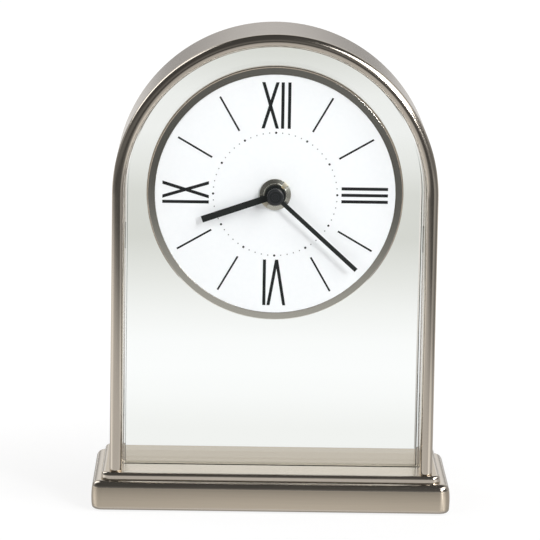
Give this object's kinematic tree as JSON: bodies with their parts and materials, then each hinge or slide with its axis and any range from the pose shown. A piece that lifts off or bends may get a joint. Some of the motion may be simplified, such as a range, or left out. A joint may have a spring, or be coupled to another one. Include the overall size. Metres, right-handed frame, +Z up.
{
  "type": "mantel clock",
  "caption": "Arched mantel clock: a satin nickel arch on a stepped base holds a clear glass panel with a round white dial, bar hands and a quartz movement behind it.",
  "frame": {"origin": "on the table, under the middle of the base", "axes": "+X to the right as seen from the front, +Y to the back, +Z up; the dial faces -Y"},
  "size_m": [0.146, 0.0622, 0.1949],
  "materials": {
    "satin_nickel": "satin, polished at the edges",
    "bezel_nickel": "polished",
    "clear_glass": "polished",
    "white_dial": "matte",
    "black_hands": "satin",
    "nut_nickel": "satin",
    "zinc_plate": "satin",
    "black_rubber": "matte",
    "clear_pads": "satin",
    "cup_grey": "satin",
    "spacer_white": "matte",
    "case_black": "matte",
    "knob_black": "matte",
    "bush_brass": "turned",
    "wheel_white": "matte",
    "rotor_grey": "matte",
    "stator_steel": "satin",
    "coil_copper": "wound wire",
    "board_green": "satin",
    "crystal_can": "polished",
    "battery_wrap": "satin"
  },
  "bodies": {
    "case": {"plinth": "satin_nickel", "step_plate": "satin_nickel", "arch_frame": "satin_nickel", "bezel_ring": "bezel_nickel", "glass_pane": "clear_glass", "dial_plate": "white_dial", "hand_nut": "nut_nickel", "dial_washer": "nut_nickel", "bottom_plate": "zinc_plate", "plate_screws": "zinc_plate", "arch_screws": "zinc_plate", "bridge_screws": "zinc_plate", "contact_minus": "zinc_plate", "contact_plus": "zinc_plate", "rubber_feet": "black_rubber", "rubber_washer": "black_rubber", "glass_cushion": "clear_pads", "edge_pads": "clear_pads", "hole_sleeve": "clear_pads", "rear_cup": "cup_grey", "dial_spacer": "spacer_white", "front_case": "case_black", "rear_case": "case_black", "chip_cover": "case_black", "threaded_bush": "bush_brass", "train_bridge": "wheel_white", "stator": "stator_steel", "coil": "coil_copper", "circuit_board": "board_green", "quartz_crystal": "crystal_can"},
    "minute": {"minute_pipe": "bush_brass", "minute_hand": "black_hands", "hand_cap": "black_hands"},
    "hour": {"hour_wheel": "wheel_white", "hour_hand": "black_hands"},
    "motion": {"motion_wheel": "wheel_white"},
    "setting": {"setting_knob": "knob_black"},
    "centre": {"centre_wheel": "wheel_white"},
    "third": {"third_wheel": "wheel_white"},
    "fourth": {"fourth_wheel": "wheel_white"},
    "fifth": {"fifth_wheel": "wheel_white"},
    "rotor": {"rotor": "rotor_grey"},
    "battery": {"battery": "battery_wrap"}
  },
  "joints": [
    {"name": "minute_spin", "type": "hinge", "parent": "case", "child": "minute", "pos_m": [0, 0, 0.1291], "axis": [0, 1, 0], "continuous": true},
    {"name": "hour_spin", "type": "hinge", "parent": "case", "child": "hour", "pos_m": [0, 0, 0.1291], "axis": [0, 1, 0], "continuous": true},
    {"name": "motion_spin", "type": "hinge", "parent": "case", "child": "motion", "pos_m": [-0.007, 0, 0.1291], "axis": [0, 1, 0], "continuous": true},
    {"name": "setting_spin", "type": "hinge", "parent": "case", "child": "setting", "pos_m": [-0.01195, 0, 0.13405], "axis": [0, 1, 0], "continuous": true},
    {"name": "fifth_spin", "type": "hinge", "parent": "case", "child": "fifth", "pos_m": [0.01545, 0, 0.13804], "axis": [0, 1, 0], "continuous": true},
    {"name": "rotor_spin", "type": "hinge", "parent": "case", "child": "rotor", "pos_m": [0.01424, 0, 0.14493], "axis": [0, 1, 0], "continuous": true},
    {"name": "fourth_spin", "type": "hinge", "parent": "case", "child": "fourth", "pos_m": [0.01185, 0, 0.1318], "axis": [0, 1, 0], "continuous": true},
    {"name": "third_spin", "type": "hinge", "parent": "case", "child": "third", "pos_m": [0.00476, 0, 0.13734], "axis": [0, 1, 0], "continuous": true},
    {"name": "centre_spin", "type": "hinge", "parent": "case", "child": "centre", "pos_m": [0, 0, 0.1291], "axis": [0, 1, 0], "continuous": true},
    {"name": "battery_slide", "type": "slide", "parent": "case", "child": "battery", "axis": [0, 1, 0], "range_m": [0, 0.025]}
  ],
  "couplings": [
    {"joint": "hour_spin", "follows": "minute_spin", "ratio": 0.083333},
    {"joint": "motion_spin", "follows": "minute_spin", "ratio": -0.33333},
    {"joint": "setting_spin", "follows": "minute_spin", "ratio": 1},
    {"joint": "rotor_spin", "follows": "fifth_spin", "ratio": -6},
    {"joint": "fourth_spin", "follows": "fifth_spin", "ratio": -0.2},
    {"joint": "third_spin", "follows": "fifth_spin", "ratio": 0.025},
    {"joint": "centre_spin", "follows": "fifth_spin", "ratio": -0.0033333}
  ]
}
